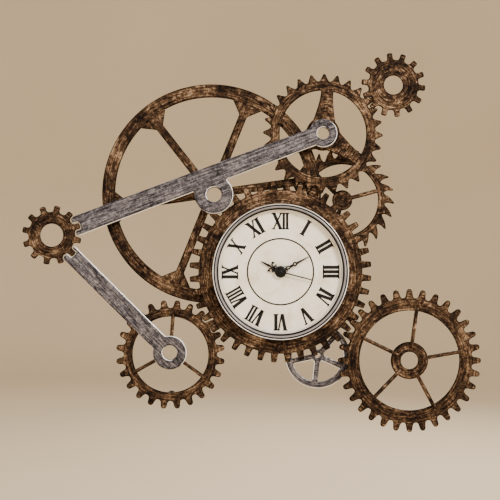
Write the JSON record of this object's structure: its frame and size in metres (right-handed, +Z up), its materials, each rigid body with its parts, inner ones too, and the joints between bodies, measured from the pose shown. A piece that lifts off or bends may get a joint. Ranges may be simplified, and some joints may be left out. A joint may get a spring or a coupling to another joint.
{
  "type": "gear wall clock",
  "caption": "Open wall clock: a round dial with black hands inside a large gear, among meshing rusted gears, a spoked flywheel and two silver link arms.",
  "frame": {"origin": "on the wall face of the right hanger's foot, 12.4 mm below the centre of its keyhole's round end; the dial's centre is 300 mm below and 87 mm left of it", "axes": "+X to the right and +Z up as the clock hangs, +Y back into the wall; the wall is the plane y = 0 and the dial faces -Y"},
  "size_m": [0.8944, 0.05, 0.7409],
  "materials": {
    "rust_metal": "matt antiqued rust over dark brown, with copper highlights and black edges",
    "silver_metal": "distressed silver grey with dark lengthwise streaks and rubbed bright edges",
    "bezel_metal": "worn satin grey metal, stepped, with a bright outer edge",
    "dial_face": "matt aged cream print with black numerals and a thin brown ring",
    "hand_black": "satin black",
    "movement_plastic": "matt black moulded plastic",
    "nut_brass": "satin brass",
    "battery_jacket": "glossy plain printed jacket",
    "rubber_foot": "matt black rubber"
  },
  "bodies": {
    "frame": {"battery": "battery_jacket", "bezel": "bezel_metal", "clock_gear": "rust_metal", "corner_gear": "rust_metal", "dial": "dial_face", "flywheel_hub": "rust_metal", "flywheel_hub_tube": "rust_metal", "flywheel_post_1": "rust_metal", "flywheel_post_2": "rust_metal", "flywheel_rim": "rust_metal", "flywheel_spoke_1": "rust_metal", "flywheel_spoke_2": "rust_metal", "flywheel_spoke_3": "rust_metal", "flywheel_spoke_4": "rust_metal", "flywheel_spoke_5": "rust_metal", "flywheel_spoke_6": "rust_metal", "foot_left": "rubber_foot", "foot_right": "rubber_foot", "hanger_left": "rust_metal", "hanger_right": "rust_metal", "left_gear": "rust_metal", "long_arm": "silver_metal", "lower_left_hub": "rust_metal", "lower_left_hub_tube": "rust_metal", "lower_left_ring": "rust_metal", "lower_left_rod_1": "rust_metal", "lower_left_rod_2": "rust_metal", "lower_left_rod_3": "rust_metal", "lower_right_hub": "rust_metal", "lower_right_ring": "rust_metal", "lower_right_rod_1": "rust_metal", "lower_right_rod_2": "rust_metal", "lower_right_rod_3": "rust_metal", "lower_right_rod_4": "rust_metal", "lower_right_rod_5": "rust_metal", "movement_case": "movement_plastic", "ratchet_hub": "rust_metal", "ratchet_post_1": "rust_metal", "ratchet_post_2": "rust_metal", "ratchet_ring": "rust_metal", "ratchet_spoke_1": "rust_metal", "ratchet_spoke_2": "rust_metal", "ratchet_spoke_3": "rust_metal", "shaft_nut": "nut_brass", "short_arm": "silver_metal", "spoked_wheel": "silver_metal", "spoked_wheel_post_1": "rust_metal", "spoked_wheel_post_2": "rust_metal", "standoff_left": "rust_metal", "standoff_right": "rust_metal", "strap_corner": "rust_metal", "strap_lower_left": "rust_metal", "strap_lower_right": "rust_metal", "strap_upper": "rust_metal", "upper_gear": "rust_metal", "upper_hub_tube": "rust_metal"},
    "minute": {"minute_hand": "hand_black"},
    "hour": {"hour_hand": "hand_black"},
    "second": {"second_hand": "hand_black"},
    "knob": {"set_knob": "movement_plastic"}
  },
  "joints": [
    {"name": "minute_turn", "type": "hinge", "parent": "frame", "child": "minute", "pos_m": [-0.08724, 0, -0.3], "axis": [0, 1, 0], "continuous": true},
    {"name": "hour_turn", "type": "hinge", "parent": "frame", "child": "hour", "pos_m": [-0.08724, 0, -0.3], "axis": [0, 1, 0], "continuous": true},
    {"name": "second_turn", "type": "hinge", "parent": "frame", "child": "second", "pos_m": [-0.08724, 0, -0.3], "axis": [0, 1, 0], "continuous": true},
    {"name": "knob_turn", "type": "hinge", "parent": "frame", "child": "knob", "pos_m": [-0.07324, 0, -0.286], "axis": [0, 1, 0], "continuous": true}
  ],
  "couplings": [
    {"joint": "hour_turn", "follows": "minute_turn", "ratio": 0.083333},
    {"joint": "knob_turn", "follows": "minute_turn", "ratio": -0.33333}
  ]
}
